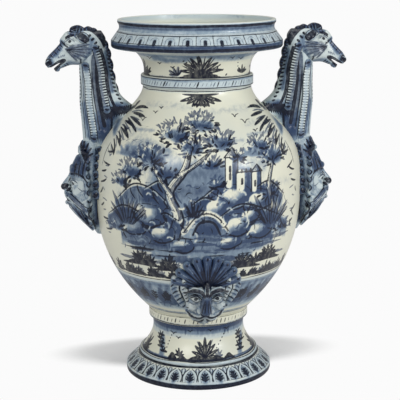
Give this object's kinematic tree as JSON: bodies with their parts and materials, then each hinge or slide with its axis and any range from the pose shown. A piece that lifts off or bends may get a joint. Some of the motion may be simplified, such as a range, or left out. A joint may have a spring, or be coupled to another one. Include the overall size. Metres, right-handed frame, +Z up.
{
  "type": "apothecary jar",
  "caption": "Footed round-bellied apothecary jar with a flanged rim, horse-head handles over grotesque side masks and a front mask with a scallop shell.",
  "frame": {"origin": "middle of the underside of the standing ring", "axes": "+Z up the jar's axis, -Y towards the front with the mask and shell, handles on -X and +X"},
  "size_m": [0.4348, 0.3, 0.52],
  "materials": {
    "glaze": "glossy tin glaze, cream to blue-grey, with cobalt painting",
    "blue_glaze": "glossy tin glaze washed with cobalt"
  },
  "bodies": {
    "root": {"foot_plinth": "glaze", "foot_bead_ring": "glaze", "foot_stem": "glaze", "stem_ring": "glaze", "belly_bowl": "glaze", "belly_shoulder": "glaze", "neck_band": "glaze", "jar_neck": "glaze", "rim_flange": "glaze", "mouth_lip": "glaze", "left_handle_neck": "blue_glaze", "right_handle_neck": "blue_glaze", "left_horse_head": "glaze", "right_horse_head": "glaze", "left_mane": "glaze", "right_mane": "glaze", "left_ears": "blue_glaze", "right_ears": "blue_glaze", "left_neck_straps": "glaze", "right_neck_straps": "glaze", "left_side_mask": "glaze", "right_side_mask": "glaze", "left_mask_curls": "blue_glaze", "right_mask_curls": "blue_glaze", "front_mask": "glaze", "front_shell": "blue_glaze"}
  },
  "joints": []
}
